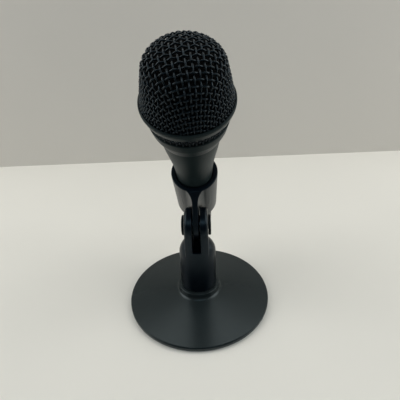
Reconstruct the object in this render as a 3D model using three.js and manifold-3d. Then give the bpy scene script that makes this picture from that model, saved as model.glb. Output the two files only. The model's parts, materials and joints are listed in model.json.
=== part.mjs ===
// A handheld dynamic microphone in a split tube clip, on a tilting clevis and a round iron desk base.
// Millimetres, +Z up, origin at the centre of the base's underside. The head of the microphone faces -Y.

import * as THREE from "three";
import { mergeVertices } from "three/addons/utils/BufferGeometryUtils.js";
import Module from "manifold-3d";

const wasm = await Module();
wasm.setup();

// ---------- driving dimensions ----------

const GAP = 0.3; // between pieces that touch on the real object
const FINE = 56; // sides of the large round pieces
const ROUND = 40; // sides of the microphone's round pieces
const SMALL = 24; // sides of screws, pins and inner pieces

// Desk base
const PAD_H = 1; // rubber ring under the base
const BASE_R = 56.5;
const LIP_TOP = 3.4; // top of the lip round the rim
const GROOVE_H = 0.5; // shadow groove above the lip
const GROOVE_D = 0.9;
const RIM_TOP = 4.2; // where the conical top begins
const CONE_TOP = 8; // where the conical top meets the boss
const BOSS_R = 16.6;
const BOSS_TOP = 13.2;
const BOSS_FILLET = 2.5;

// Threaded stud and its nut, in a recess under the base
const STUD_R = 7.8;
const STUD_TOP = 33;
const STUD_SHANK_R = 4.9;
const RECESS_R = 13;
const RECESS_TOP = 5.4;
const NUT_H = 2.9;
const WASHER_H = 0.8;

// Swivel adapter: a threaded barrel with two ears
const ADAPTER_R = 14.2;
const ADAPTER_BOTTOM = BOSS_TOP + GAP;
const INSERT_R = 10.6; // brass thread insert
const INSERT_TOP = 36;
const SHOULDER_BOTTOM = 42.5; // where the barrel's domed top begins
const SHOULDER_TOP = 56.5;
const EAR_OUTER = 8.8; // half the width over both ears
const EAR_R = 13.2;
const EAR_ROUND = 2.4;
const SLOT_HALF = 3.15;
const SLOT_FLOOR = 50.3;
const PIVOT_Z = 66.6;

// Pivot bolt, cap nut and friction washers
const BOLT_R = 3;
const CAP_R = 7.6;
const CAP_H = 2.05;
const CAP_ROUND = 0.8;
const FRICTION_WASHER_R = 7;
const FRICTION_WASHER_H = 0.8;

// Clip: a split tapered tube with a fin that turns on the pivot
const AXIS_OFFSET = 30; // from the pivot to the microphone's axis
const TILT_DEG = 37.8; // of the microphone's axis, from upright
const CLIP_TOP = 27.6; // along the microphone's axis, from the pivot's level
const CLIP_BOTTOM = -18;
const CLIP_TOP_R = 16.6;
const CLIP_BOTTOM_R = 16.1;
const CLIP_CLEARANCE = 0.35; // between the clip and the handle
const CLIP_SLIT_DEG = 76;
const FIN_HALF = 2;
const FIN_END_R = 10.7;
const FLARE_HALF = 10.5; // half the fin's width where it flares into the tube
const FLARE_REACH = 5.6; // how far the flare runs out along the fin

// Handle
const TAIL = -50.6;
const TAIL_R = 11.8;
const GRIP_TOP = 31; // where the straight taper ends
const GRIP_TOP_R = 12.9;
const COLLAR_BOTTOM = 71.6;
const COLLAR_BOTTOM_R = 17.9;
const COLLAR_TOP = 85.6;
const COLLAR_TOP_R = 22.2;
const WALL = 2.2;
const MOUTH_R = 20.2; // bore that takes the head's thread
const MOUTH_FLOOR = 79.5;
const MOUNT_SEAT_R = 16.8; // bore that takes the shock mount
const MOUNT_SEAT_FLOOR = 73.5;

// Connector in the tail
const SOCKET_R = 9.6;
const INSERT_PUCK_TOP = TAIL + 21;
const INSERT_PUCK_BOTTOM = TAIL + 15.5;
const PIN_R = 1.2;
const PIN_CIRCLE_R = 4.8;
const PIN_TIP = TAIL + 4.6;
const PIN_ANGLES_DEG = [45, 135, 270];
const SET_SCREW_R = 1.4;
const SET_SCREW_U = TAIL + 18;

// Head: ring, wire domes, collar and foam
const RING_TOP = 97.5;
const RING_BOTTOM = 91.9;
const RING_R = 25;
const RING_BOTTOM_R = 23.9;
const DOME_R = 24.2;
const DOME_H = 27.6;
const WALL_H = 16.2; // the dome's wall leans in to a crease, and a rounded cap closes it
const CAP_POWER = 0.89; // 1 would make the cap's outline an ellipse, and less makes it squarer
const CREASE_R = 20;
const MESH_T = 1.6; // thickness of the woven wire
const SKIRT_TOP_R = 22.9;
const SKIRT_BOTTOM_R = 22.1;
const SKIRT_BOTTOM = 85.9;
const HEAD_COLLAR_R = 19.9;
const HEAD_COLLAR_BOTTOM = 80.2;
const HEAD_COLLAR_BORE = 17.8;
const FOAM_T = 3;

// Cartridge, on the microphone's axis
const CASE_R = 15.5;
const CASE_BOTTOM = 80;
const CASE_TOP = 101;
const CHAMBER_R = 12.4;
const CHAMBER_BOTTOM = 52;
const LEAD_R = 0.7;

const rad = THREE.MathUtils.degToRad;

// ---------- solids ----------

// A geometry as a manifold-3d solid.
function solid(geometry) {
  const bare = geometry.index ? geometry.toNonIndexed() : geometry.clone();
  bare.deleteAttribute("normal");
  bare.deleteAttribute("uv");
  const merged = mergeVertices(bare, 1e-4);
  return new wasm.Manifold(
    new wasm.Mesh({
      numProp: 3,
      vertProperties: merged.attributes.position.array,
      triVerts: new Uint32Array(merged.index.array),
    }),
  );
}

// A manifold-3d solid as a geometry.
function geometryOf(made) {
  const mesh = made.getMesh();
  return new THREE.BufferGeometry()
    .setAttribute("position", new THREE.BufferAttribute(mesh.vertProperties, 3))
    .setIndex(new THREE.BufferAttribute(mesh.triVerts, 1));
}

// A ring or a solid of revolution about Z. The profile is [radius, height] points, anticlockwise.
function revolve(profile, sides = ROUND) {
  const points = profile.map(([r, z]) => new THREE.Vector2(r, z));
  if (profile[0][0] > 0) points.push(points[0].clone());
  return new THREE.LatheGeometry(points, sides).rotateX(Math.PI / 2);
}

// A plain cylinder about Z, from one height to another.
function disc(radius, bottom, top, sides = SMALL) {
  return revolve([[0, bottom], [radius, bottom], [radius, top], [0, top]], sides);
}

// A plain ring about Z.
function ring(inner, outer, bottom, top, sides = SMALL) {
  return revolve([[inner, bottom], [outer, bottom], [outer, top], [inner, top]], sides);
}

// An outline in the YZ plane, as [y, z] points, made thick from x = from to x = to.
function slab(outline, from, to) {
  const shape = new THREE.Shape(outline.map(([y, z]) => new THREE.Vector2(y, z)));
  const made = new THREE.ExtrudeGeometry(shape, { depth: to - from, bevelEnabled: false });
  // The shape's x, y and depth become the part's y, z and x.
  const axes = new THREE.Matrix4().makeBasis(
    new THREE.Vector3(0, 1, 0),
    new THREE.Vector3(0, 0, 1),
    new THREE.Vector3(1, 0, 0),
  );
  return made.applyMatrix4(axes).translate(from, 0, 0);
}

// Points on an arc, from one angle to another, in degrees.
function arc(cx, cy, r, from, to, steps) {
  return Array.from({ length: steps + 1 }, (_, i) => {
    const angle = rad(from + ((to - from) * i) / steps);
    return [cx + r * Math.cos(angle), cy + r * Math.sin(angle)];
  });
}

// ---------- materials ----------

const finish = (color, roughness, metalness) =>
  new THREE.MeshStandardMaterial({ color, roughness, metalness });
const ironPaint = finish(0x26292b, 0.5, 0.2);
const bodyPaint = finish(0x2d3032, 0.55, 0.3);
const wirePaint = finish(0x1b1d1f, 0.45, 0.4);
const blackPlastic = finish(0x1f2123, 0.55, 0);
const rubber = finish(0x141414, 0.9, 0);
const steel = finish(0x9a9da0, 0.35, 0.9);
const blackSteel = finish(0x15161a, 0.35, 0.6);
const brass = finish(0xb08d4a, 0.35, 0.9);
const foam = finish(0x0c0c0d, 1, 0);
const film = finish(0xc8b98a, 0.3, 0);
const copper = finish(0xa8622f, 0.4, 0.8);
const redSleeve = finish(0x8c2a22, 0.6, 0);

function piece(name, geometry, material) {
  const mesh = new THREE.Mesh(geometry, material);
  mesh.name = name;
  return mesh;
}

// ---------- desk base ----------

function baseDisc() {
  const lipEdge = 0.4;
  const boreR = STUD_SHANK_R + GAP;
  const boss = arc(BOSS_R + BOSS_FILLET, CONE_TOP + BOSS_FILLET, BOSS_FILLET, 265, 185, 4);
  return revolve(
    [
      [boreR, RECESS_TOP],
      [RECESS_R, RECESS_TOP],
      [RECESS_R, PAD_H],
      [BASE_R - lipEdge, PAD_H],
      [BASE_R, PAD_H + lipEdge],
      [BASE_R, LIP_TOP - lipEdge / 2],
      [BASE_R - lipEdge / 2, LIP_TOP],
      [BASE_R - GROOVE_D, LIP_TOP],
      [BASE_R - GROOVE_D, LIP_TOP + GROOVE_H],
      [BASE_R - 0.3, LIP_TOP + GROOVE_H],
      [BASE_R - 0.6, RIM_TOP],
      ...boss,
      [BOSS_R, BOSS_TOP - 0.5],
      [BOSS_R - 0.5, BOSS_TOP],
      [boreR, BOSS_TOP],
    ],
    FINE,
  );
}

const basePad = () => ring(45, 54.5, 0, PAD_H, FINE);

// Threaded above the boss, with a plain shank through the base and a slot for a screwdriver.
function baseStud() {
  const shankBottom = RECESS_TOP - WASHER_H - NUT_H - 0.6;
  const body = revolve([
    [0, shankBottom],
    [STUD_SHANK_R, shankBottom],
    [STUD_SHANK_R, BOSS_TOP],
    [STUD_R, BOSS_TOP],
    [STUD_R, STUD_TOP - 1],
    [STUD_R - 1, STUD_TOP],
    [0, STUD_TOP],
  ], SMALL);
  const slot = new THREE.BoxGeometry(2 * STUD_R + 2, 2, 3).translate(0, 0, STUD_TOP);
  return geometryOf(solid(body).subtract(solid(slot)));
}

const studWasher = () =>
  ring(STUD_SHANK_R + GAP, 10.5, RECESS_TOP - WASHER_H, RECESS_TOP, SMALL);

function studNut() {
  const top = RECESS_TOP - WASHER_H;
  const hexagon = disc(9.2, top - NUT_H, top, 6);
  const bore = disc(STUD_SHANK_R + GAP, 0, RECESS_TOP, SMALL);
  return geometryOf(solid(hexagon).subtract(solid(bore)));
}

// ---------- swivel adapter ----------

function adapter() {
  const rise = (SHOULDER_TOP - SHOULDER_BOTTOM) / ADAPTER_R;
  const dome = arc(0, 0, ADAPTER_R, 0, 80, 8).map(([r, z]) => [r, SHOULDER_BOTTOM + rise * z]);
  const barrel = revolve(
    [
      [0, ADAPTER_BOTTOM],
      [ADAPTER_R - 0.6, ADAPTER_BOTTOM],
      [ADAPTER_R, ADAPTER_BOTTOM + 1],
      ...dome,
      [0, SHOULDER_TOP],
    ],
    FINE,
  );
  // Ears: a flat-sided block inside the barrel's own radius, with a round head about the pivot.
  const block = new THREE.BoxGeometry(2 * EAR_OUTER, 3 * ADAPTER_R, PIVOT_Z - SHOULDER_BOTTOM)
    .translate(0, 0, (PIVOT_Z + SHOULDER_BOTTOM) / 2);
  const edge = arc(EAR_R - EAR_ROUND, EAR_OUTER - EAR_ROUND, EAR_ROUND, 0, 90, 4);
  const head = revolve(
    [[0, -EAR_OUTER], ...edge.map(([r, x]) => [r, -x]).reverse(), ...edge, [0, EAR_OUTER]],
    FINE,
  ).rotateY(Math.PI / 2).translate(0, 0, PIVOT_Z);
  const limit = disc(ADAPTER_R, SHOULDER_BOTTOM - 1, PIVOT_Z + 1, FINE);
  const slot = new THREE.BoxGeometry(2 * SLOT_HALF, 4 * ADAPTER_R, 40).translate(0, 0, SLOT_FLOOR + 20);
  const hole = disc(BOLT_R + 0.15, -20, 20, SMALL).rotateY(Math.PI / 2).translate(0, 0, PIVOT_Z);
  const bore = disc(INSERT_R + GAP, ADAPTER_BOTTOM - 1, INSERT_TOP + GAP, ROUND);
  return geometryOf(
    solid(block)
      .intersect(solid(limit))
      .add(solid(head))
      .add(solid(barrel))
      .subtract(solid(slot))
      .subtract(solid(hole))
      .subtract(solid(bore)),
  );
}

const threadInsert = () => ring(STUD_R + 0.2, INSERT_R, ADAPTER_BOTTOM + 0.4, INSERT_TOP, 32);

// A round cap on the ear's outer face, with rounded edge and a hexagon socket.
function capProfile(face) {
  const outer = face + CAP_H;
  return [
    [CAP_R, face],
    ...arc(CAP_R - CAP_ROUND, outer - CAP_ROUND, CAP_ROUND, 0, 90, 3),
    [0, outer],
  ];
}

function pivotBolt() {
  const face = EAR_OUTER + 0.1;
  const head = revolve([[0, face], ...capProfile(face)], 32);
  const socket = disc(2.9, face + 0.9, face + CAP_H + 1, 6);
  const shank = disc(BOLT_R, -face - 0.7, face + 0.5, SMALL);
  return geometryOf(solid(head).subtract(solid(socket)).add(solid(shank)).rotate([0, -90, 0]))
    .translate(0, 0, PIVOT_Z);
}

function pivotNut() {
  const face = EAR_OUTER + 0.1;
  const cap = revolve([[0, face], ...capProfile(face)], 32);
  const hole = disc(BOLT_R + 0.15, face - 1, face + 1.1, SMALL);
  return geometryOf(solid(cap).subtract(solid(hole)).rotate([0, 90, 0])).translate(0, 0, PIVOT_Z);
}

function frictionWasher(side) {
  const middle = (SLOT_HALF + FIN_HALF) / 2;
  return ring(BOLT_R + 0.2, FRICTION_WASHER_R, middle - FRICTION_WASHER_H / 2, middle + FRICTION_WASHER_H / 2)
    .rotateY((side * Math.PI) / 2)
    .translate(0, 0, PIVOT_Z);
}

// ---------- clip, in the microphone's own frame: Z along its axis, the pivot at y = -AXIS_OFFSET ----------

// The handle's outer radius on its straight taper.
const gripRadius = (u) => TAIL_R + ((GRIP_TOP_R - TAIL_R) * (u - TAIL)) / (GRIP_TOP - TAIL);

function clip() {
  const inner = (u) => gripRadius(u) + CLIP_CLEARANCE;
  const edge = 0.5;
  const tube = revolve(
    [
      [inner(CLIP_BOTTOM), CLIP_BOTTOM],
      [CLIP_BOTTOM_R - edge, CLIP_BOTTOM],
      [CLIP_BOTTOM_R, CLIP_BOTTOM + edge],
      [CLIP_TOP_R, CLIP_TOP - edge],
      [CLIP_TOP_R - edge, CLIP_TOP],
      [inner(CLIP_TOP), CLIP_TOP],
    ],
    FINE,
  );
  const bore = revolve(
    [
      [0, CLIP_BOTTOM - 1],
      [inner(CLIP_BOTTOM - 1), CLIP_BOTTOM - 1],
      [inner(CLIP_TOP + 1), CLIP_TOP + 1],
      [0, CLIP_TOP + 1],
    ],
    FINE,
  );
  // Fin: two straight edges that run tangent into the round end about the pivot.
  const reach = Math.hypot(AXIS_OFFSET - CLIP_TOP_R, CLIP_TOP);
  const rise = Math.atan2(CLIP_TOP, AXIS_OFFSET - CLIP_TOP_R);
  const topTangent = THREE.MathUtils.radToDeg(rise + Math.acos(FIN_END_R / reach));
  const low = CLIP_BOTTOM + 2.4;
  const lowReach = Math.hypot(AXIS_OFFSET - CLIP_BOTTOM_R, low);
  const fall = Math.atan2(-low, AXIS_OFFSET - CLIP_BOTTOM_R);
  const lowTangent = THREE.MathUtils.radToDeg(fall + Math.acos(FIN_END_R / lowReach));
  const root = -CLIP_BOTTOM_R + 1.2;
  const finOutline = [
    [root, low],
    [root, CLIP_TOP],
    [-CLIP_TOP_R, CLIP_TOP],
    ...arc(-AXIS_OFFSET, 0, FIN_END_R, topTangent, 360 - lowTangent, 20),
    [-CLIP_BOTTOM_R, low],
  ].reverse();
  const fin = slab(finOutline, -FIN_HALF, FIN_HALF);
  const finRoom = slab(finOutline.map(([y, u]) => [y < root - 0.01 ? y : 0, u]), -20, 20);
  // Flare from the tube into the fin, as wide as the tube's side, cut back to clear the ears.
  const shoulderY = -Math.sqrt(CLIP_BOTTOM_R ** 2 - FLARE_HALF ** 2);
  const flareShape = new THREE.Shape();
  flareShape.moveTo(-FLARE_HALF, shoulderY + 1);
  flareShape.lineTo(-FLARE_HALF, shoulderY - 0.5);
  flareShape.quadraticCurveTo(-FIN_HALF - 0.8, -CLIP_TOP_R, -FIN_HALF, -CLIP_TOP_R - FLARE_REACH);
  flareShape.lineTo(FIN_HALF, -CLIP_TOP_R - FLARE_REACH);
  flareShape.quadraticCurveTo(FIN_HALF + 0.8, -CLIP_TOP_R, FLARE_HALF, shoulderY - 0.5);
  flareShape.lineTo(FLARE_HALF, shoulderY + 1);
  const flare = new THREE.ExtrudeGeometry(flareShape, {
    depth: CLIP_TOP,
    bevelEnabled: false,
    curveSegments: 8,
  });
  const earRoom = disc(EAR_R + 0.8, -20, 20, ROUND).rotateY(Math.PI / 2).translate(0, -AXIS_OFFSET, 0);
  const half = rad(CLIP_SLIT_DEG / 2);
  const wedge = new THREE.Shape();
  wedge.moveTo(0, 0);
  wedge.lineTo(40 * Math.sin(half), 40 * Math.cos(half));
  wedge.lineTo(-40 * Math.sin(half), 40 * Math.cos(half));
  const slit = new THREE.ExtrudeGeometry(wedge, { depth: 80, bevelEnabled: false }).translate(0, 0, -40);
  const hole = disc(BOLT_R + 0.15, -20, 20, SMALL).rotateY(Math.PI / 2).translate(0, -AXIS_OFFSET, 0);
  return geometryOf(
    solid(flare)
      .intersect(solid(finRoom))
      .subtract(solid(earRoom))
      .add(solid(fin))
      .add(solid(tube))
      .subtract(solid(bore))
      .subtract(solid(slit))
      .subtract(solid(hole)),
  );
}

// ---------- microphone ----------

// Points of the handle's outside, from the tail up.
function handleOutside() {
  // From the straight taper, the body swells in one easy curve up to the collar.
  const swell = new THREE.CubicBezierCurve(
    new THREE.Vector2(GRIP_TOP_R, GRIP_TOP),
    new THREE.Vector2(GRIP_TOP_R + 0.45, GRIP_TOP + 15),
    new THREE.Vector2(COLLAR_BOTTOM_R - 1.9, COLLAR_BOTTOM - 15),
    new THREE.Vector2(COLLAR_BOTTOM_R - 0.3, COLLAR_BOTTOM),
  ).getPoints(6).map((p) => [p.x, p.y]);
  return [
    [TAIL_R - 0.6, TAIL],
    [TAIL_R, TAIL + 0.6],
    ...swell,
    [COLLAR_BOTTOM_R, COLLAR_BOTTOM + 0.5],
    [COLLAR_BOTTOM_R + 2.9, COLLAR_BOTTOM + 7],
    [COLLAR_TOP_R - 0.2, COLLAR_TOP - 1.6],
    [COLLAR_TOP_R, COLLAR_TOP - 0.8],
    [COLLAR_TOP_R - 0.5, COLLAR_TOP],
  ];
}

function handle() {
  const chest = COLLAR_BOTTOM_R - WALL - 0.6;
  const shell = revolve([
    ...handleOutside(),
    [MOUTH_R, COLLAR_TOP],
    [MOUTH_R, MOUTH_FLOOR],
    [MOUNT_SEAT_R, MOUTH_FLOOR],
    [MOUNT_SEAT_R, MOUNT_SEAT_FLOOR],
    [chest, MOUNT_SEAT_FLOOR],
    [13.6, 50],
    [11.6, GRIP_TOP],
    [SOCKET_R, INSERT_PUCK_TOP + 6],
    [SOCKET_R, TAIL],
  ]);
  const screwHole = disc(SET_SCREW_R + 0.2, 0, 20, 12).rotateX(-Math.PI / 2).translate(0, 0, SET_SCREW_U);
  return geometryOf(solid(shell).subtract(solid(screwHole)));
}

const pinPlace = (angle) => [PIN_CIRCLE_R * Math.cos(rad(angle)), PIN_CIRCLE_R * Math.sin(rad(angle))];

function connectorPuck() {
  let puck = solid(disc(SOCKET_R - 0.2, INSERT_PUCK_BOTTOM, INSERT_PUCK_TOP, 32));
  for (const angle of PIN_ANGLES_DEG) {
    const [x, y] = pinPlace(angle);
    puck = puck.subtract(solid(disc(PIN_R + 0.15, -60, 0, 12).translate(x, y, 0)));
  }
  return geometryOf(puck);
}

function connectorPin(angle) {
  const [x, y] = pinPlace(angle);
  const top = INSERT_PUCK_TOP + 2.2;
  const tip = arc(0, PIN_TIP + PIN_R, PIN_R, 270, 360, 3).slice(1);
  return revolve([[0, PIN_TIP], ...tip, [PIN_R, top], [0, top]], 12).translate(x, y, 0);
}

// Holds the connector puck from the back of the tail.
function setScrew() {
  const outer = gripRadius(SET_SCREW_U) - 0.3;
  const body = disc(SET_SCREW_R, SOCKET_R + 0.1, outer, 12);
  const drive = new THREE.BoxGeometry(4, 0.6, 1).translate(0, 0, outer);
  return geometryOf(solid(body).subtract(solid(drive)).rotate([-90, 0, 0])).translate(0, 0, SET_SCREW_U);
}

const shockMount = () =>
  revolve([
    [CHAMBER_R + 0.2, MOUNT_SEAT_FLOOR + 0.2],
    [MOUNT_SEAT_R - 0.2, MOUNT_SEAT_FLOOR + 0.2],
    [MOUNT_SEAT_R - 0.2, MOUNT_SEAT_FLOOR + 2],
    [MOUNT_SEAT_R - 1.4, MOUNT_SEAT_FLOOR + 3],
    [MOUNT_SEAT_R - 0.2, MOUNT_SEAT_FLOOR + 4],
    [MOUNT_SEAT_R - 0.2, MOUTH_FLOOR - 0.2],
    [CHAMBER_R + 0.2, MOUTH_FLOOR - 0.2],
  ], 32);

const rearChamber = () =>
  revolve([
    [0, CHAMBER_BOTTOM],
    [CHAMBER_R - 0.8, CHAMBER_BOTTOM],
    [CHAMBER_R, CHAMBER_BOTTOM + 0.8],
    [CHAMBER_R, CASE_BOTTOM - 0.2],
    [CHAMBER_R - 1.2, CASE_BOTTOM - 0.2],
    [CHAMBER_R - 1.2, CHAMBER_BOTTOM + 1.4],
    [0, CHAMBER_BOTTOM + 1.4],
  ], 32);

const terminalBoard = () => disc(7, CHAMBER_BOTTOM - 1.4, CHAMBER_BOTTOM - 0.2);

const capsuleCase = () =>
  revolve([
    [9, CASE_BOTTOM],
    [CASE_R - 0.6, CASE_BOTTOM],
    [CASE_R, CASE_BOTTOM + 0.6],
    [CASE_R, CASE_TOP],
    [CASE_R - 1, CASE_TOP],
    [CASE_R - 1, CASE_BOTTOM + 1.4],
    [9, CASE_BOTTOM + 1.4],
  ], 40);

// The front cap, a low dome with a centre hole and a ring of holes.
function capsuleCap() {
  let cap = solid(
    revolve([
      [0, CASE_TOP + 1.4],
      [9, CASE_TOP + 0.9],
      [CASE_R - 0.8, CASE_TOP + 0.2],
      [CASE_R, CASE_TOP + 0.2],
      [CASE_R, CASE_TOP + 1.2],
      [9, CASE_TOP + 2.1],
      [0, CASE_TOP + 2.6],
    ], 32),
  );
  cap = cap.subtract(solid(disc(1.8, CASE_TOP, CASE_TOP + 4, 12)));
  for (let i = 0; i < 6; i++) {
    const hole = disc(1.8, CASE_TOP, CASE_TOP + 4, 12).translate(7.5, 0, 0).rotateZ((i * Math.PI) / 3);
    cap = cap.subtract(solid(hole));
  }
  return geometryOf(cap);
}

// A thin domed film with a corrugated surround, clamped at its edge.
const diaphragm = () =>
  revolve([
    [0, 100.1],
    [6, 99.5],
    [9.4, 98.4],
    [11.6, 99.2],
    [CASE_R - 1.3, 99],
    [CASE_R - 1.3, 99.3],
    [11.6, 99.5],
    [9.4, 98.7],
    [6, 99.8],
    [0, 100.4],
  ], 32);

const voiceCoil = () => ring(9.1, 9.8, 93.2, 98.3);
const polePiece = () => disc(8.6, 92.2, 95.6);
const magnet = () => disc(8, 85, 92);
const yoke = () =>
  revolve([
    [0, 81.8],
    [13.4, 81.8],
    [13.4, 95.6],
    [10.4, 95.6],
    [10.4, 84.8],
    [0, 84.8],
  ], 32);

// One of the two leads from the cartridge to the connector, with a little slack.
function lead(side) {
  const [pinX, pinY] = pinPlace(side > 0 ? PIN_ANGLES_DEG[0] : PIN_ANGLES_DEG[1]);
  const route = new THREE.CatmullRomCurve3([
    new THREE.Vector3(side * 3, 0, CHAMBER_BOTTOM - 1.7),
    new THREE.Vector3(side * 3, 0.5, CHAMBER_BOTTOM - 8),
    new THREE.Vector3(side * 4.5, 2.5, 28),
    new THREE.Vector3(side * 2.5, -2, 8),
    new THREE.Vector3(side * 4.5, 1, -8),
    new THREE.Vector3(pinX, pinY, -18),
    new THREE.Vector3(pinX, pinY, INSERT_PUCK_TOP + 2.5),
  ]);
  const section = new THREE.Shape().absarc(0, 0, LEAD_R, 0, 2 * Math.PI);
  return new THREE.ExtrudeGeometry(section, { steps: 24, extrudePath: route, curveSegments: 4 });
}

// ---------- head, which unscrews from the handle ----------

// The wire dome's profile from the ring up to the crown, set in by a thickness.
function domeProfile(inset, steps) {
  const cap = arc(0, 0, 1, 0, 90, steps).map(([x, y]) => [
    (CREASE_R - inset) * x ** CAP_POWER,
    RING_TOP + WALL_H + (DOME_H - WALL_H - inset) * y ** CAP_POWER,
  ]);
  cap[steps][0] = 0;
  return [[DOME_R - inset, RING_TOP], [(DOME_R + CREASE_R) / 2 + 0.3 - inset, RING_TOP + WALL_H / 2], ...cap];
}

const meshDome = () =>
  revolve([
    [DOME_R - MESH_T, RING_TOP - 2.4],
    [DOME_R, RING_TOP - 2.4],
    ...domeProfile(0, 7),
    ...domeProfile(MESH_T, 5).reverse(),
  ].filter(([r], i, all) => !(r === 0 && i === all.length - 1)), ROUND);

function headRing() {
  const round = 0.9;
  const inner = DOME_R - MESH_T - 0.9;
  return revolve([
    [inner, RING_BOTTOM],
    [RING_BOTTOM_R - round, RING_BOTTOM],
    [RING_BOTTOM_R, RING_BOTTOM + round],
    [RING_R, RING_TOP - 2 * round],
    [RING_R, RING_TOP - round],
    [RING_R - 0.5, RING_TOP],
    [DOME_R + 0.15, RING_TOP],
    [DOME_R + 0.15, RING_TOP - 2.6],
    [inner, RING_TOP - 2.6],
  ], ROUND);
}

function meshSkirt() {
  const top = RING_BOTTOM - 0.1;
  const thickness = 1.4;
  return revolve([
    [SKIRT_BOTTOM_R - thickness, SKIRT_BOTTOM],
    [SKIRT_BOTTOM_R, SKIRT_BOTTOM],
    [SKIRT_TOP_R, top],
    [SKIRT_TOP_R - thickness, top],
  ], ROUND);
}

// Threaded collar: a flange under the skirt and a thread that screws into the handle's mouth.
const headCollar = () =>
  revolve([
    [HEAD_COLLAR_BORE, HEAD_COLLAR_BOTTOM],
    [HEAD_COLLAR_R - 0.6, HEAD_COLLAR_BOTTOM],
    [HEAD_COLLAR_R, HEAD_COLLAR_BOTTOM + 0.6],
    [HEAD_COLLAR_R, RING_BOTTOM - 1],
    [HEAD_COLLAR_BORE, RING_BOTTOM - 1],
  ], ROUND);

function foamLiner() {
  const outer = MESH_T + 0.3;
  return revolve([
    [DOME_R - outer - FOAM_T, RING_TOP - 2],
    [DOME_R - outer - 0.9, RING_TOP - 2],
    ...domeProfile(outer, 4),
    ...domeProfile(outer + FOAM_T, 4).reverse(),
  ].filter(([r], i, all) => !(r === 0 && i === all.length - 1)), 32);
}

// ---------- assembly ----------

const part = new THREE.Group();

part.add(
  piece("base_disc", baseDisc(), ironPaint),
  piece("base_pad", basePad(), rubber),
  piece("base_stud", baseStud(), steel),
  piece("stud_washer", studWasher(), steel),
  piece("stud_nut", studNut(), steel),
  piece("swivel_adapter", adapter(), blackPlastic),
  piece("thread_insert", threadInsert(), brass),
  piece("pivot_bolt", pivotBolt(), blackSteel),
  piece("pivot_nut", pivotNut(), blackSteel),
  piece("friction_washer_left", frictionWasher(-1), blackPlastic),
  piece("friction_washer_right", frictionWasher(1), blackPlastic),
);

// The microphone and its clip tilt together about the pivot.
const tilting = new THREE.Group();
tilting.position.set(0, 0, PIVOT_Z);
tilting.rotation.x = rad(TILT_DEG);
part.add(tilting);

const microphone = new THREE.Group();
microphone.position.set(0, AXIS_OFFSET, 0);
tilting.add(microphone);

microphone.add(
  piece("mic_clip", clip(), blackPlastic),
  piece("handle", handle(), bodyPaint),
  piece("connector_puck", connectorPuck(), blackPlastic),
  ...PIN_ANGLES_DEG.map((angle, i) => piece(`connector_pin_${i + 1}`, connectorPin(angle), steel)),
  piece("connector_set_screw", setScrew(), steel),
  piece("shock_mount", shockMount(), rubber),
  piece("rear_chamber", rearChamber(), blackPlastic),
  piece("terminal_board", terminalBoard(), film),
  piece("capsule_case", capsuleCase(), blackPlastic),
  piece("capsule_cap", capsuleCap(), blackPlastic),
  piece("diaphragm", diaphragm(), film),
  piece("voice_coil", voiceCoil(), copper),
  piece("pole_piece", polePiece(), steel),
  piece("magnet", magnet(), blackSteel),
  piece("magnet_yoke", yoke(), steel),
  piece("lead_red", lead(1), redSleeve),
  piece("lead_black", lead(-1), rubber),
  piece("mesh_dome", meshDome(), wirePaint),
  piece("head_ring", headRing(), bodyPaint),
  piece("mesh_skirt", meshSkirt(), wirePaint),
  piece("head_collar", headCollar(), steel),
  piece("foam_liner", foamLiner(), foam),
);

export default part;
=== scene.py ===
"""A handheld dynamic microphone in a split tube clip, on a tilting clevis and a round desk base."""

import json
import math

import bpy
import numpy as np
from mathutils import Matrix, Vector, noise


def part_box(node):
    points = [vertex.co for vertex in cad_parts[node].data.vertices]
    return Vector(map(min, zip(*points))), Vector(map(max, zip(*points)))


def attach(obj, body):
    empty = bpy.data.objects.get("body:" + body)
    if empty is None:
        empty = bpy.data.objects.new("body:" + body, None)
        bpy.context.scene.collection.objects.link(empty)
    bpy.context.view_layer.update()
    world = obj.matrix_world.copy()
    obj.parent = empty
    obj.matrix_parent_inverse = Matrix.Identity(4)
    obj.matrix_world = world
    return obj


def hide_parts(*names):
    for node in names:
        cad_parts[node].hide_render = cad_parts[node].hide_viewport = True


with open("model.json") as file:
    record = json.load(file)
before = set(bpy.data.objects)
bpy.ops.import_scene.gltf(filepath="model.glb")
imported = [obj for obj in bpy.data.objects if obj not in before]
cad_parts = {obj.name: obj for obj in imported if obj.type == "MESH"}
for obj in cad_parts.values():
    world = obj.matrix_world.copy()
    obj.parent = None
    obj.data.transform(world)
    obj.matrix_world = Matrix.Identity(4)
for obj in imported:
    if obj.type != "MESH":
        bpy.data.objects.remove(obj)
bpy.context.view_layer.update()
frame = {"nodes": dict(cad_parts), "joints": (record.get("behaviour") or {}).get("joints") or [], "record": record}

MM = 0.001

# ---------- the frame: two places that everything is built in ----------

JOINTS = {joint["name"]: joint for joint in frame["joints"]}
PIVOT = Vector(JOINTS["clip_tilt"]["pos_m"])
AXIS = Vector(JOINTS["microphone_slide"]["axis"]).normalized()


def node_points(name):
    """A CAD node's vertices, one row each, in metres."""
    return np.array([vertex.co[:] for vertex in frame["nodes"][name].data.vertices])


def microphone_frame():
    """Z along the microphone, X to the side, and the origin level with the clip's pivot."""
    low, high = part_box("voice_coil")
    centre = (low + high) / 2
    origin = centre + AXIS * (PIVOT - centre).dot(AXIS)
    side = Vector((1, 0, 0))
    turn = Matrix((side, AXIS.cross(side), AXIS)).transposed().to_4x4()
    return Matrix.Translation(origin) @ turn @ Matrix.Scale(MM, 4)


STAND = Matrix.Scale(MM, 4)
MIC = microphone_frame()


def span(name, place=MIC):
    """A round node's lowest and highest point, and its largest radius, in millimetres."""
    inverse = np.array(place.inverted())
    points = node_points(name) @ inverse[:3, :3].T + inverse[:3, 3]
    radius = np.hypot(points[:, 0], points[:, 1]).max()
    return points[:, 2].min(), points[:, 2].max(), radius


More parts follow.
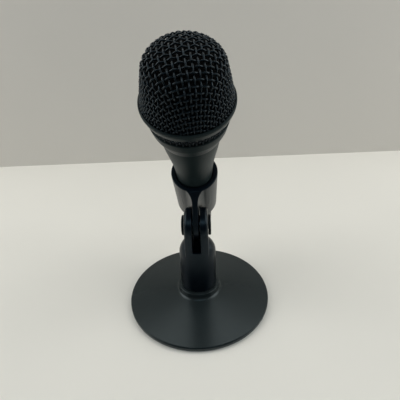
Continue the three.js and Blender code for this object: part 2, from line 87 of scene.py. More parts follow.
PIVOT_Z = PIVOT.z / MM
AXIS_OFFSET = (MIC.translation - PIVOT).length / MM
RING_BOTTOM, RING_TOP, RING_R = span("head_ring")
_, _, DOME_R = span("mesh_dome")
TAIL, COLLAR_TOP, COLLAR_TOP_R = span("handle")
CLIP_BOTTOM, CLIP_TOP, _ = span("mic_clip")
_, BOSS_TOP, BASE_R = span("base_disc", STAND)

# ---------- mesh helpers: all sizes in millimetres ----------


def new_object(name, vertices, faces):
    mesh = bpy.data.meshes.new(name)
    mesh.from_pydata([tuple(point) for point in vertices], [], faces)
    mesh.validate()
    made = bpy.data.objects.new(name, mesh)
    bpy.context.scene.collection.objects.link(made)
    return made


def settle(made, name, place, body, stands_for, slot):
    """Puts a finished mesh in its place, on a body, for a CAD node, and gives it its material."""
    made.name = name
    made.data.transform(place)
    made.data.shade_smooth()
    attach(made, body)
    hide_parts(stands_for)
    made.data.materials.clear()
    made.data.materials.append(MATERIALS[slot])


def rounded(corners, steps=5):
    """A closed outline with every (x, y, radius) corner rounded by an arc."""
    points = []
    for i, (x, y, radius) in enumerate(corners):
        here = Vector((x, y))
        if radius == 0:
            points.append((x, y))
            continue
        before = (Vector(corners[i - 1][:2]) - here).normalized()
        after = (Vector(corners[(i + 1) % len(corners)][:2]) - here).normalized()
        half = before.angle(after) / 2
        centre = here + (before + after).normalized() * (radius / math.sin(half))
        start = here + before * (radius / math.tan(half)) - centre
        end = here + after * (radius / math.tan(half)) - centre
        sweep = math.atan2(start.x * end.y - start.y * end.x, start.dot(end))
        for step in range(steps + 1):
            turn = Matrix.Rotation(sweep * step / steps, 2)
            points.append(tuple(centre + turn @ start))
    return points


def curve_points(start, handle_1, handle_2, end, steps):
    """Points on a cubic curve, without its first point."""
    points = []
    for step in range(1, steps + 1):
        t = step / steps
        weights = ((1 - t) ** 3, 3 * t * (1 - t) ** 2, 3 * t * t * (1 - t), t**3)
        corners = (start, handle_1, handle_2, end)
        points.append(tuple(sum(w * c[k] for w, c in zip(weights, corners)) for k in (0, 1)))
    return points


ON_AXIS = 1e-6


def lathe_mesh(profile, sides):
    """A solid of revolution about Z, as vertices and faces. Its profile closes on itself or on the axis."""
    vertices = []
    rings = []
    for radius, height in profile:
        if radius < ON_AXIS:
            rings.append([len(vertices)])
            vertices.append((0, 0, height))
            continue
        rings.append(list(range(len(vertices), len(vertices) + sides)))
        for side in range(sides):
            angle = 2 * math.pi * side / sides
            vertices.append((radius * math.cos(angle), radius * math.sin(angle), height))
    faces = []
    closed = profile[0][0] > ON_AXIS
    pairs = list(zip(rings, rings[1:]))
    if closed:
        pairs.append((rings[-1], rings[0]))
    for low, high in pairs:
        for side in range(sides):
            after = (side + 1) % sides
            if len(low) == 1:
                faces.append((low[0], high[after], high[side]))
            elif len(high) == 1:
                faces.append((low[side], low[after], high[0]))
            else:
                faces.append((low[side], low[after], high[after], high[side]))
    return vertices, faces


def lathe(name, profile, body, slot, stands_for, place=MIC, sides=128):
    made = new_object(name, *lathe_mesh(profile, sides))
    settle(made, name, place, body, stands_for, slot)


def tube_mesh(paths, radius, sides=8):
    """Round wires along paths, each a pair of arrays: points, and a direction across the wire."""
    vertices = []
    faces = []
    angles = np.linspace(0, 2 * math.pi, sides, endpoint=False)
    for points, across in paths:
        along = np.gradient(points, axis=0)
        along /= np.linalg.norm(along, axis=1)[:, None]
        side = np.cross(along, across)
        side /= np.linalg.norm(side, axis=1)[:, None]
        up = np.cross(side, along)
        start = len(vertices)
        for point, u, s in zip(points, up, side):
            vertices.extend(point + radius * (math.cos(a) * u + math.sin(a) * s) for a in angles)
        for ring in range(len(points) - 1):
            low = start + ring * sides
            for k in range(sides):
                after = (k + 1) % sides
                faces.append((low + k, low + after, low + sides + after, low + sides + k))
        last = start + (len(points) - 1) * sides
        faces.append(tuple(range(start + sides - 1, start - 1, -1)))
        faces.append(tuple(range(last, last + sides)))
    return vertices, faces


# ---------- materials ----------


def shader_of(material):
    return material.node_tree.nodes["Principled BSDF"]


def plain_material(name, colour, roughness, metallic=0.0, specular=0.5, tint=(1, 1, 1)):
    material = bpy.data.materials.new(name)
    material.use_nodes = True
    shader = shader_of(material)
    shader.inputs["Base Color"].default_value = (*colour, 1)
    shader.inputs["Roughness"].default_value = roughness
    shader.inputs["Metallic"].default_value = metallic
    shader.inputs["Specular IOR Level"].default_value = specular
    shader.inputs["Specular Tint"].default_value = (*tint, 1)
    return material


def texture_node(material, kind, scale, stretch=(1, 1, 1), **settings):
    """A texture in the object's own metres: scale is its features per metre."""
    tree = material.node_tree
    place = tree.nodes.new("ShaderNodeTexCoord")
    mapping = tree.nodes.new("ShaderNodeMapping")
    mapping.inputs["Scale"].default_value = stretch
    tree.links.new(place.outputs["Object"], mapping.inputs["Vector"])
    node = tree.nodes.new(kind)
    node.inputs["Scale"].default_value = scale
    for key, value in settings.items():
        node.inputs[key].default_value = value
    tree.links.new(mapping.outputs["Vector"], node.inputs["Vector"])
    return node


def ramp_between(material, source, low, high, start=0.3, end=0.7):
    """A colour or a grey that runs from low to high as the source goes from start to end."""
    tree = material.node_tree
    ramp = tree.nodes.new("ShaderNodeValToRGB")
    ramp.color_ramp.elements[0].position = start
    ramp.color_ramp.elements[1].position = end
    ramp.color_ramp.elements[0].color = (*low, 1)
    ramp.color_ramp.elements[1].color = (*high, 1)
    tree.links.new(source, ramp.inputs["Fac"])
    return ramp.outputs["Color"]


def vary_colour(material, source, colour, spread):
    """Drives the colour from a little darker to a little lighter."""
    dark = tuple(c * (1 - spread) for c in colour)
    light = tuple(c * (1 + spread) for c in colour)
    shade = ramp_between(material, source, dark, light)
    material.node_tree.links.new(shade, shader_of(material).inputs["Base Color"])


def add_bump(material, source, depth_mm):
    tree = material.node_tree
    bump = tree.nodes.new("ShaderNodeBump")
    bump.inputs["Distance"].default_value = depth_mm * MM
    bump.inputs["Strength"].default_value = 1.0
    tree.links.new(source, bump.inputs["Height"])
    tree.links.new(bump.outputs["Normal"], shader_of(material).inputs["Normal"])


def grey(value):
    return (value, value, value)


BROAD_SCALE = 60  # patches of colour, per metre
ROUGHNESS_SPREAD = 0.12


def finish(
    name,
    colour,
    spread,
    roughness,
    grain,
    depth_mm,
    metallic=0.0,
    specular=0.5,
    tint=(1, 1, 1),
    stretch=(1, 1, 1),
):
    """Paint, plastic or metal: a fine grain in the bump, and broad changes in colour and roughness."""
    material = plain_material(name, colour, roughness, metallic, specular, tint)
    broad = texture_node(material, "ShaderNodeTexNoise", BROAD_SCALE, Detail=4.0, Roughness=0.6)
    vary_colour(material, broad.outputs["Fac"], colour, spread)
    fine = texture_node(material, "ShaderNodeTexNoise", grain, stretch, Detail=2.0, Roughness=0.55)
    smoothest = grey(roughness * (1 - ROUGHNESS_SPREAD))
    roughest = grey(min(1.0, roughness * (1 + ROUGHNESS_SPREAD)))
    rough = ramp_between(material, fine.outputs["Fac"], smoothest, roughest)
    material.node_tree.links.new(rough, shader_of(material).inputs["Roughness"])
    add_bump(material, fine.outputs["Fac"], depth_mm)
    return material


def foam_material():
    """Open cells: pores, with painted shade that darkens them against the lighter walls."""
    material = plain_material("foam", grey(0.007), 0.95, specular=0.1)
    pores = texture_node(material, "ShaderNodeTexVoronoi", 900)
    # Painted shade: darker in the pores, lighter on the cell walls.
    shade = ramp_between(material, pores.outputs["Distance"], grey(0.002), grey(0.012), 0.1, 0.6)
    material.node_tree.links.new(shade, shader_of(material).inputs["Base Color"])
    add_bump(material, pores.outputs["Distance"], 0.4)
    return material


def matte_material(name, colour):
    material = plain_material(name, colour, 0.75, specular=0.25)
    broad = texture_node(material, "ShaderNodeTexNoise", 3, Detail=2.0)
    vary_colour(material, broad.outputs["Fac"], colour, 0.015)
    return material


def table_material(colour):
    """A pale table top with painted shade that darkens it in front of the object."""
    painted_shade_ends_y, painted_shade_begins_y = -0.30, -0.10
    painted_shade_colour = (0.12, 0.12, 0.125)
    material = matte_material("table", colour)
    tree = material.node_tree
    shader = shader_of(material)
    pale = shader.inputs["Base Color"].links[0].from_socket
    place = tree.nodes.new("ShaderNodeTexCoord")
    split = tree.nodes.new("ShaderNodeSeparateXYZ")
    tree.links.new(place.outputs["Object"], split.inputs["Vector"])
    span_y = tree.nodes.new("ShaderNodeMapRange")
    span_y.inputs["From Min"].default_value = painted_shade_ends_y
    span_y.inputs["From Max"].default_value = painted_shade_begins_y
    tree.links.new(split.outputs["Y"], span_y.inputs["Value"])
    # Painted shade: the colour runs from the pale table to dark grey towards the front.
    mix = tree.nodes.new("ShaderNodeMix")
    mix.data_type = "RGBA"
    mix.inputs["A"].default_value = (*painted_shade_colour, 1)
    tree.links.new(span_y.outputs["Result"], mix.inputs["Factor"])
    tree.links.new(pale, mix.inputs["B"])
    tree.links.new(mix.outputs["Result"], shader.inputs["Base Color"])
    return material


# Tints of the reflections from the dark paints.
COOL = (0.80, 0.95, 1.0)
BLUE = (0.64, 0.86, 1.0)

LENGTHWAYS = (1, 1, 12)  # squeezes the grain into turning marks

# Slot: colour, spread of colour, roughness, grains per metre, depth of the grain in mm, and the rest.
FINISHES = {
    "base_paint": ((0.0115, 0.0160, 0.0172), 0.06, 0.24, 1900, 0.012, {"specular": 0.37, "tint": COOL}),
    "body_paint": ((0.0135, 0.0215, 0.0230), 0.12, 0.39, 2600, 0.03, {"specular": 0.08, "tint": COOL}),
    "wire_paint": ((0.0010, 0.0028, 0.0048), 0.15, 0.38, 1500, 0.01, {"specular": 0.40, "tint": BLUE}),
    "clip_plastic": ((0.0005, 0.0019, 0.0042), 0.08, 0.32, 2400, 0.01, {"specular": 0.27, "tint": BLUE}),
    "capsule_plastic": ((0.016, 0.016, 0.018), 0.1, 0.5, 2200, 0.03, {}),
    "rubber": ((0.010, 0.010, 0.010), 0.1, 0.8, 1500, 0.05, {"specular": 0.3}),
    "steel": ((0.5, 0.5, 0.51), 0.06, 0.3, 900, 0.01, {"metallic": 1.0, "stretch": LENGTHWAYS}),
    "black_steel": ((0.001, 0.002, 0.003), 0.1, 0.4, 1200, 0.01, {"specular": 0.2, "tint": COOL}),
    "brass": ((0.6, 0.42, 0.18), 0.08, 0.3, 900, 0.01, {"metallic": 1.0, "stretch": LENGTHWAYS}),
    "film": ((0.55, 0.45, 0.26), 0.05, 0.25, 700, 0.01, {}),
    "board": ((0.28, 0.18, 0.08), 0.2, 0.6, 500, 0.02, {"stretch": (1, 6, 1)}),
    "copper": ((0.55, 0.20, 0.09), 0.1, 0.3, 1200, 0.02, {"metallic": 1.0, "stretch": (1, 1, 8)}),
    "red_sleeve": ((0.35, 0.02, 0.015), 0.1, 0.5, 1200, 0.02, {}),
}

MATERIALS = {slot: finish(slot, *values, **rest) for slot, (*values, rest) in FINISHES.items()}
MATERIALS["foam"] = foam_material()

# ---------- stage, camera and light ----------


def stage_plane(name, corners, material):
    """A flat backdrop that isn't part of the object, in metres."""
    made = new_object(name, corners, [(0, 1, 2, 3)])
    made.data.materials.append(material)


def add_stage():
    """A table top and a wall that stands a little askew behind the object, in metres."""
    reach, height = 3.0, 2.0
    left_y, right_y = 0.25, 0.478
    below = -0.01
    table = [(-reach, -reach, 0), (reach, -reach, 0), (reach, reach, 0), (-reach, reach, 0)]
    wall = [(-reach, left_y, below), (reach, right_y, below)]
    wall += [(reach, right_y, height), (-reach, left_y, height)]
    stage_plane("table", table, table_material((0.77, 0.76, 0.71)))
    stage_plane("wall", wall, matte_material("wall", (0.63, 0.61, 0.57)))


def add_camera():
    """The camera stands in front and a little to the right of the middle, and looks down."""
    camera = bpy.data.cameras.new("camera")
    camera.lens = 26.45
    camera.sensor_width = 36
    camera.clip_start = 0.01
    made = bpy.data.objects.new("camera", camera)
    bpy.context.scene.collection.objects.link(made)
    place = (0.0090, -0.1897, 0.1795)
    turn = math.radians(1.68)
    pitch = math.radians(25.94)
    roll = math.radians(2.2)
    level = math.cos(pitch)
    ahead = Vector((-math.sin(turn) * level, math.cos(turn) * level, -math.sin(pitch)))
    level_right = ahead.cross(Vector((0, 0, 1))).normalized()
    level_up = level_right.cross(ahead)
    right = math.cos(roll) * level_right - math.sin(roll) * level_up
    up = math.sin(roll) * level_right + math.cos(roll) * level_up
    turned_camera = Matrix((right, up, -ahead)).transposed().to_4x4()
    made.matrix_world = Matrix.Translation(place) @ turned_camera
    bpy.context.scene.camera = made


def add_light(name, place, target, size, power, colour):
    """A rectangular light at a place, facing a target: metres and watts."""
    light = bpy.data.lights.new(name, "AREA")
    light.shape = "RECTANGLE"
    light.size, light.size_y = size
    light.energy = power
    light.color = colour
    made = bpy.data.objects.new(name, light)
    made.location = place
    made.rotation_mode = "QUATERNION"
    made.rotation_quaternion = (Vector(target) - Vector(place)).to_track_quat("-Z", "Y")
    bpy.context.scene.collection.objects.link(made)


def add_lights():
    """Broad lights at both sides, a narrow one above and behind, and a dim blue world."""
    world = bpy.data.worlds.new("world")
    world.use_nodes = True
    background = world.node_tree.nodes["Background"]
    background.inputs["Color"].default_value = (0.6, 0.85, 1.0, 1)
    background.inputs["Strength"].default_value = 0.02
    bpy.context.scene.world = world
    warm = (1.0, 0.985, 0.955)
    cool = (0.72, 0.9, 1.0)
    add_light("left", (-1.15, 0.15, 0.80), (0, 0.05, 0), (1.8, 1.3), 20.8, warm)
    add_light("right", (1.15, 0.15, 0.80), (0, 0.05, 0), (1.8, 1.3), 19.6, warm)
    add_light("above", (0, 0.28, 0.72), (0, -0.05, 0), (1.1, 0.28), 1.25, warm)
    add_light("front", (0.1, -0.95, 1.05), (0, 0, 0.05), (1.0, 0.4), 2.4, cool)


# ---------- head ----------

CREASE_R = 20.3  # where the rounded cap meets the sloping wall
CREASE_Z = RING_TOP + 16.2
CAP_H = 11.8
CAP_POWER = 0.95  # 1 would make the cap's outline an ellipse
WIRE_R = 0.42
PITCH = 2.67
MESH_OUTER = 0.9  # from the middle of the woven wire to its outer face
WEAVE_TURN = math.radians(9)
STEPS_PER_CELL = 7


def surface_frame(angle, radius, height, out_r, out_z):
    """Points on a round surface, and its outward directions there, one row for each angle."""
    cos, sin = np.cos(angle), np.sin(angle)
    points = np.stack([radius * cos, radius * sin, height], axis=1)
    outward = np.stack([out_r * cos, out_r * sin, out_z], axis=1)
    return points, outward


def dome_outline(inset):
    """Points of the dome's outline from the crown down to just inside the ring, set in by an amount."""
    cap_r = CREASE_R - inset
    cap_h = CAP_H - inset
    points = []
    cap_steps = 40
    for step in range(cap_steps + 1):
        angle = math.pi / 2 * (1 - step / cap_steps)
        across = max(math.cos(angle), 0) ** CAP_POWER
        rise = math.sin(angle) ** CAP_POWER
        points.append((cap_r * across, CREASE_Z + cap_h * rise))
    foot_r = DOME_R - inset
    wall_h = CREASE_Z - RING_TOP
    below_crease = (cap_r + 1.3, RING_TOP + wall_h * 0.78)
    above_foot = (foot_r - 1.2, RING_TOP + wall_h * 0.3)
    points += curve_points(points[-1], below_crease, above_foot, (foot_r, RING_TOP), 16)
    tuck = 1.6  # goes down inside the ring
    points.append((foot_r, RING_TOP - tuck))
    return np.array(points)


def dome_surface():
    """Radius, height and outward direction by the distance along the outline from the crown."""
    outline = dome_outline(MESH_OUTER)
    steps = np.diff(outline, axis=0)
    lengths = np.hypot(steps[:, 0], steps[:, 1])
    reach = np.concatenate([[0], np.cumsum(lengths)])
    slope = np.gradient(outline, reach, axis=0)
    outward = np.stack([-slope[:, 1], slope[:, 0]], axis=1)
    outward /= np.linalg.norm(outward, axis=1)[:, None]
    return reach, outline, outward


def woven_dome():
    """Plain-woven wire pressed over the dome: flat cloth measured out from the crown."""
    reach, outline, outward = dome_surface()
    limit = reach[-1]
    lines = int(limit / PITCH)
    shortest = 8  # points in the shortest wire that is kept
    amplitude = WIRE_R * 1.04
    along = np.arange(-limit, limit, PITCH / STEPS_PER_CELL)
    paths = []
    for line in range(-lines, lines + 1):
        for direction in (0, 1):
            across = np.full_like(along, line * PITCH)
            distance = np.hypot(along, across)
            inside = distance < limit
            run, offset, distance = along[inside], across[inside], distance[inside]
            if len(run) < shortest:
                continue
            x, y = (run, offset) if direction == 0 else (offset, run)
            angle = np.arctan2(y, x) + WEAVE_TURN
            parity = (-1) ** (line + direction)
            lift = parity * amplitude * np.cos(math.pi * run / PITCH)
            radius = np.interp(distance, reach, outline[:, 0])
            height = np.interp(distance, reach, outline[:, 1])
            out_r = np.interp(distance, reach, outward[:, 0])
            out_z = np.interp(distance, reach, outward[:, 1])
            points, normal = surface_frame(angle, radius, height, out_r, out_z)
            paths.append((points + lift[:, None] * normal, normal))
    vertices, faces = tube_mesh(paths, WIRE_R)
    made = new_object("woven_dome", vertices, faces)
    settle(made, "woven_dome", MIC, "head", "mesh_dome", "wire_paint")


def woven_skirt():
    """The short cone of woven wire between the ring and the handle's collar."""
    bottom, top, top_r = span("mesh_skirt")
    bottom_r = COLLAR_TOP_R - 0.1
    pitch = 1.75
    wire = 0.3
    ribs = 2 * round(math.pi * top_r / pitch)
    slope = Vector((top_r - bottom_r, top - bottom))
    length = slope.length
    out_r, out_z = slope.y / length, -slope.x / length

    def wire_path(angle, run, wave):
        """A wire at a distance up the cone, its wave laid just inside the cone's face."""
        lift = wave * wire - 2 * wire
        radius = bottom_r + run * slope.x / length + lift * out_r
        height = bottom + run * slope.y / length + lift * out_z
        level = np.ones_like(angle)
        return surface_frame(angle, radius, height, out_r * level, out_z * level)

    paths = []
    for rib in range(ribs):
        run = np.arange(0, length + 0.1, pitch / STEPS_PER_CELL)
        angle = np.full_like(run, 2 * math.pi * rib / ribs)
        paths.append(wire_path(angle, run, (-1) ** rib * np.cos(math.pi * run / pitch)))
    for hoop in range(1, int(length / pitch) + 1):
        angle = np.linspace(0, 2 * math.pi, ribs * 6 + 1)
        run = np.full_like(angle, hoop * pitch)
        paths.append(wire_path(angle, run, -((-1) ** hoop) * np.cos(ribs * angle / 2)))
    vertices, faces = tube_mesh(paths, wire, 6)
    made = new_object("woven_skirt", vertices, faces)
    settle(made, "woven_skirt", MIC, "head", "mesh_skirt", "wire_paint")


def head_ring():
    """A tapered ring with a small step inside its top edge, where the dome sits."""
    inner_r = DOME_R - 3.2
    step_r = RING_R - 0.75
    profile = rounded(
        [
            (inner_r, RING_BOTTOM, 0.3),
            (RING_R - 1.1, RING_BOTTOM, 0.9),
            (RING_R, RING_TOP - 1.9, 1.5),
            (RING_R, RING_TOP, 0.9),
            (step_r, RING_TOP, 0.25),
            (step_r, RING_TOP - 2.4, 0.2),
            (inner_r, RING_TOP - 2.6, 0.3),
        ]
    )
    lathe("ring", profile, "head", "body_paint", "head_ring", sides=192)


def foam_liner():
    """Open-cell foam just behind the wire, uneven all over."""
    inset, thickness = 2.3, 2.6
    coarse, fine = 1.3, 3.1  # lumps per millimetre
    outer = dome_outline(inset)[::-1]
    inner = dome_outline(inset + thickness)
    profile = [tuple(point) for point in inner[:-1]] + [tuple(point) for point in outer[1:]]
    profile[0] = (0, inner[0][1])
    profile[-1] = (0, outer[-1][1])
    vertices, faces = lathe_mesh(profile, 160)
    rough = []
    for point in vertices:
        place = Vector(point)
        wobble = 0.16 * noise.noise(place * coarse) - 0.08 * abs(noise.noise(place * fine))
        rough.append(place * (1 + wobble / max(place.length, 1.0)))
    faces = [tuple(reversed(face)) for face in faces]
    made = new_object("foam_windscreen", rough, faces)
    settle(made, "foam_windscreen", MIC, "head", "foam_liner", "foam")


# ---------- solids, in millimetres until they are settled ----------

# Takes an outline's x, y and thickness to y, z and x.
SIDEWAYS = Matrix(((0, 0, 1, 0), (1, 0, 0, 0), (0, 1, 0, 0), (0, 0, 0, 1)))
ACROSS = Matrix.Rotation(math.pi / 2, 4, "Y")
CUT_REACH = 20  # half the length of a cutter that has to pass right through


def extruded(name, outline, from_z, to_z):
    """A closed (x, y) outline made thick along Z."""
    count = len(outline)
    vertices = [(x, y, from_z) for x, y in outline] + [(x, y, to_z) for x, y in outline]
    faces = [tuple(range(count))[::-1], tuple(range(count, 2 * count))]
    faces += [(i, (i + 1) % count, (i + 1) % count + count, i + count) for i in range(count)]
    return new_object(name, vertices, faces)


def cylinder(name, radius, from_z, to_z, sides=128):
    profile = [(0, from_z), (radius, from_z), (radius, to_z), (0, to_z)]
    return new_object(name, *lathe_mesh(profile, sides))


def moved(made, matrix):
    made.data.transform(matrix)
    return made


def cross_cylinder(name, radius, height=0.0, shift_y=0.0, sides=128):
    """A long cylinder that lies along X, through y = shift_y and z = height."""
    rod = moved(cylinder(name, radius, -CUT_REACH, CUT_REACH, sides), ACROSS)
    return moved(rod, Matrix.Translation((0, shift_y, height)))


def apply_modifiers(made):
    bpy.context.view_layer.update()
    graph = bpy.context.evaluated_depsgraph_get()
    made.data = bpy.data.meshes.new_from_object(made.evaluated_get(graph))
    made.modifiers.clear()


def combine(base, other, operation):
    """Joins to, cuts from or keeps the overlap with a solid, and removes the second one."""
    modifier = base.modifiers.new("combine", "BOOLEAN")
    modifier.operation = operation
    modifier.solver = "EXACT"
    modifier.object = other
    apply_modifiers(base)
    bpy.data.objects.remove(other)


def soften(base):
    """Remeshes a solid evenly and softens its edges, as a moulding's are."""
    remesh = base.modifiers.new("remesh", "REMESH")
    remesh.mode = "VOXEL"
    remesh.voxel_size = 0.32
    remesh.use_smooth_shade = True
    smooth = base.modifiers.new("smooth", "SMOOTH")
    smooth.factor = 0.5
    smooth.iterations = 3
    apply_modifiers(base)


# ---------- handle ----------


def handle():
    """A hollow turned body: outside from the tail to the mouth, then back down the inside."""
    tail_r, socket_r = 11.8, 9.6
    grip_top, grip_top_r = 31, 12.9
    collar_bottom, collar_bottom_r = 71.6, 18.3
    collar_top_r = COLLAR_TOP_R + 0.25
    mouth_r, mouth_floor = 20.2, 79.5
    seat_r, seat_floor, throat_r = 16.8, 73.5, 15.1
    screw_r, screw_z = 1.6, TAIL + 18
    sides = 160
    swell = curve_points(
        (grip_top_r, grip_top),
        (grip_top_r + 0.45, grip_top + 15),
        (collar_bottom_r - 1.9, collar_bottom - 15),
        (collar_bottom_r - 0.3, collar_bottom - 0.2),
        24,
    )
    outline = [(socket_r, TAIL, 0.3), (tail_r, TAIL, 0.9), (grip_top_r, grip_top, 0)]
    outline += [(radius, height, 0) for radius, height in swell]
    outline += [
        (collar_bottom_r, collar_bottom, 0.25),
        (collar_bottom_r + 2.9, collar_bottom + 7.5, 6),
        (collar_top_r, COLLAR_TOP, 0.6),
        (mouth_r, COLLAR_TOP, 0.2),
        (mouth_r, mouth_floor, 0),
        (seat_r, mouth_floor, 0),
        (seat_r, seat_floor, 0),
        (throat_r, seat_floor, 0),
        (13.6, 50, 0),
        (11.3, grip_top, 0),
        (socket_r, TAIL + 27, 0),
    ]
    body = new_object("body", *lathe_mesh(rounded(outline), sides))
    screw_hole = cylinder("screw_hole", screw_r, 0, CUT_REACH, 32)
    moved(screw_hole, Matrix.Rotation(-math.pi / 2, 4, "X"))
    moved(screw_hole, Matrix.Translation((0, 0, screw_z)))
    combine(body, screw_hole, "DIFFERENCE")
    body.data.set_sharp_from_angle(angle=math.radians(35))
    settle(body, "handle_body", MIC, "microphone", "handle", "body_paint")


# ---------- clip and adapter ----------


def arc_points(cx, cy, radius, start, end, steps):
    """Points on an arc, its angles in degrees."""
    angles = [math.radians(start + (end - start) * i / steps) for i in range(steps + 1)]
    return [(cx + radius * math.cos(a), cy + radius * math.sin(a)) for a in angles]


BOLT_R = 3.0
HOLE_R = BOLT_R + 0.15
EAR_OUTER = 8.8
EAR_R = 13.2
SLOT_HALF = 3.15
FIN_HALF = 2.0
TURN_SIDES = 160


def fin_outline(top_r, bottom_r, root, low):
    """The fin's side view, (y, height): a round end about the pivot, and two straight sides to the tube."""
    end_r = 10.7
    to_top = AXIS_OFFSET - top_r
    to_bottom = AXIS_OFFSET - bottom_r
    rise = math.degrees(math.atan2(CLIP_TOP, to_top) + math.acos(end_r / math.hypot(to_top, CLIP_TOP)))
    fall = math.degrees(math.atan2(-low, to_bottom) + math.acos(end_r / math.hypot(to_bottom, low)))
    outline = [(root, low), (root, CLIP_TOP), (-top_r, CLIP_TOP)]
    outline += arc_points(-AXIS_OFFSET, 0, end_r, rise, 360 - fall, 40)
    outline += [(-bottom_r, low)]
    return outline[::-1]


def flare_outline(top_r, bottom_r):
    """The flare's view from above, (x, y): from the tube's wide shoulders down to the fin's faces."""
    half_width = 10.5
    shoulder = -math.sqrt(bottom_r**2 - half_width**2)
    side = curve_points(
        (half_width, shoulder - 0.5),
        (6.2, shoulder - 2.6),
        (FIN_HALF + 0.8, -top_r - 0.9),
        (FIN_HALF, -top_r - 5.6),
        16,
    )
    half = [(half_width, shoulder + 1), (half_width, shoulder - 0.5)] + side
    return half[::-1] + [(-x, y) for x, y in half]


def clip():
    """A split tube with a fin that flares into it."""
    top_r, bottom_r, wall = 16.6, 16.2, 3.3
    edge = 0.5
    beyond = 1  # how far a cutter goes past what it cuts
    tube_profile = rounded(
        [
            (bottom_r - wall - 0.2, CLIP_BOTTOM, edge),
            (bottom_r, CLIP_BOTTOM, edge),
            (top_r, CLIP_TOP, edge),
            (top_r - wall, CLIP_TOP, edge),
        ]
    )
    tube = new_object("tube", *lathe_mesh(tube_profile, TURN_SIDES))
    bore_profile = [
        (0, CLIP_BOTTOM - beyond),
        (bottom_r - wall - 0.22, CLIP_BOTTOM - beyond),
        (top_r - wall - 0.02, CLIP_TOP + beyond),
        (0, CLIP_TOP + beyond),
    ]
    bore = new_object("bore", *lathe_mesh(bore_profile, TURN_SIDES))
    root = 1.2 - bottom_r
    side_view = fin_outline(top_r, bottom_r, root, CLIP_BOTTOM + 2.4)
    fin = moved(extruded("fin", side_view, -FIN_HALF, FIN_HALF), SIDEWAYS)
    room = [(0 if y > root - 0.01 else y, u) for y, u in side_view]
    fin_room = moved(extruded("fin_room", room, -CUT_REACH, CUT_REACH), SIDEWAYS)
    flare = extruded("flare", flare_outline(top_r, bottom_r), 0, CLIP_TOP)
    ear_room = cross_cylinder("ear_room", EAR_R + 0.8, shift_y=-AXIS_OFFSET)
    slit_half, slit_reach = math.radians(38), 40
    far_x, far_y = slit_reach * math.sin(slit_half), slit_reach * math.cos(slit_half)
    wedge = [(0, 0), (far_x, far_y), (-far_x, far_y)]
    slit = extruded("slit", wedge, CLIP_BOTTOM - beyond, CLIP_TOP + beyond)
    hole = cross_cylinder("hole", HOLE_R, shift_y=-AXIS_OFFSET, sides=48)
    combine(flare, fin_room, "INTERSECT")
    combine(flare, ear_room, "DIFFERENCE")
    combine(flare, fin, "UNION")
    combine(flare, tube, "UNION")
    combine(flare, bore, "DIFFERENCE")
    combine(flare, slit, "DIFFERENCE")
    combine(flare, hole, "DIFFERENCE")
    soften(flare)
    settle(flare, "clip_moulding", MIC, "clip", "mic_clip", "clip_plastic")


def box_outline(half_x, half_y):
    return [(-half_x, -half_y), (half_x, -half_y), (half_x, half_y), (-half_x, half_y)]


def adapter():
    """A barrel with a domed top, and two ears that stand out of it."""
    barrel_r = 14.2
    foot = BOSS_TOP + 0.3
    slot_floor, slot_reach, slot_top = 50.3, 30, 100
    shoulder_bottom, shoulder_top = 43.5, 56.8
    bore_r, bore_top = 10.9, 36.3
    ear_round = 2.6
    barrel_profile = [(0, foot), (barrel_r - 0.8, foot), (barrel_r - 0.2, foot + 0.3), (barrel_r, foot + 1)]
    for degrees in range(0, 90, 4):
        angle = math.radians(degrees)
        rise = (shoulder_top - shoulder_bottom) * math.sin(angle)
        barrel_profile.append((barrel_r * math.cos(angle), shoulder_bottom + rise))
    barrel_profile.append((0, shoulder_top))
    barrel = new_object("barrel", *lathe_mesh(barrel_profile, TURN_SIDES))
    corner = arc_points(EAR_R - ear_round, EAR_OUTER - ear_round, ear_round, 0, 90, 8)
    other_corner = [(r, -x) for r, x in corner][::-1]
    head_profile = [(0, -EAR_OUTER)] + other_corner + corner + [(0, EAR_OUTER)]
    head = moved(new_object("ears", *lathe_mesh(head_profile, TURN_SIDES)), ACROSS)
    moved(head, Matrix.Translation((0, 0, PIVOT_Z)))
    block = extruded("block", box_outline(EAR_OUTER, 1.5 * barrel_r), shoulder_bottom, PIVOT_Z)
    limit = cylinder("limit", barrel_r, shoulder_bottom - 1, PIVOT_Z + 1, TURN_SIDES)
    slot = extruded("slot", box_outline(SLOT_HALF, slot_reach), slot_floor, slot_top)
    hole = cross_cylinder("hole", HOLE_R, height=PIVOT_Z, sides=48)
    bore = cylinder("bore", bore_r, foot - 1, bore_top, 96)
    combine(block, limit, "INTERSECT")
    combine(block, head, "UNION")
    combine(block, barrel, "UNION")
    combine(block, slot, "DIFFERENCE")
    combine(block, hole, "DIFFERENCE")
    combine(block, bore, "DIFFERENCE")
    soften(block)
    settle(block, "adapter_moulding", STAND, "adapter", "swivel_adapter", "clip_plastic")


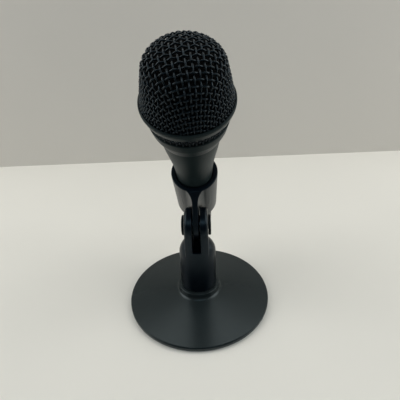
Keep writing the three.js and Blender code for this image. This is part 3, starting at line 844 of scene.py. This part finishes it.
def pivot_hardware():
    """A shallow socket-head cap with its shank on one side, and a plain cap on the other."""
    cap_r, cap_top = 7.6, EAR_OUTER + 2.15
    face = EAR_OUTER + 0.1
    corner = arc_points(cap_r - 0.9, cap_top - 0.9, 0.9, 0, 90, 8)
    rim = [(cap_r - 0.3, face), (cap_r, face + 0.3)] + corner
    socket_r, socket_floor = 3.2, cap_top - 0.3
    shank_end = -face - 0.7
    shank = [(0, shank_end), (BOLT_R, shank_end), (BOLT_R, face)]
    socket = [(socket_r + 0.2, cap_top), (socket_r, socket_floor), (0, socket_floor)]
    bolt_profile = shank + rim + socket
    nut_profile = [(0, face)] + rim + [(3.5, cap_top), (0, cap_top)]
    for name, node, side, profile in (
        ("bolt_cap", "pivot_bolt", -1, bolt_profile),
        ("nut_cap", "pivot_nut", 1, nut_profile),
    ):
        turn = Matrix.Rotation(side * math.pi / 2, 4, "Y")
        place = Matrix.Translation(PIVOT) @ turn @ Matrix.Scale(MM, 4)
        lathe(name, profile, "adapter", "black_steel", node, place, 96)


# ---------- base ----------


def base():
    """One turned casting with a groove above its lip, and a rubber ring under it."""
    pad_h = 1
    pad_inner_r, pad_outer_r = 45, 54.5
    recess_r, recess_top = 13, 5.4
    bore = 5.2
    fillet = 2.5
    boss_r = 16.6
    cone_top = 8
    lip_top, rim_bottom, rim_top = 3.4, 3.9, 4.2
    groove_r = BASE_R - 0.9
    profile = rounded(
        [
            (bore, recess_top, 0.2),
            (recess_r, recess_top, 0.4),
            (recess_r, pad_h, 0.4),
            (BASE_R, pad_h, 0.6),
            (BASE_R, lip_top, 0.25),
            (groove_r, lip_top, 0.1),
            (groove_r, rim_bottom, 0.1),
            (BASE_R - 0.3, rim_bottom, 0.1),
            (BASE_R - 0.6, rim_top, 0.15),
            (boss_r, cone_top, fillet),
            (boss_r, BOSS_TOP, 0.3),
            (bore, BOSS_TOP, 0.2),
        ],
        8,
    )
    lathe("base_casting", profile, "base", "base_paint", "base_disc", STAND, 256)
    ring_profile = rounded(
        [
            (pad_inner_r, 0, 0.3),
            (pad_outer_r, 0, 0.3),
            (pad_outer_r, pad_h, 0.1),
            (pad_inner_r, pad_h, 0.1),
        ]
    )
    lathe("base_rubber", ring_profile, "base", "rubber", "base_pad", STAND, 192)


# ---------- build ----------

add_camera()
add_stage()
add_lights()
woven_dome()
woven_skirt()
head_ring()
foam_liner()
handle()
clip()
adapter()
pivot_hardware()
base()

SLOTS = {part["node"]: part["material_slot"] for part in frame["record"]["subparts"]}
for name, node in frame["nodes"].items():
    node.data.materials.clear()
    node.data.materials.append(MATERIALS[SLOTS[name]])

bpy.context.scene.view_settings.view_transform = "Standard"
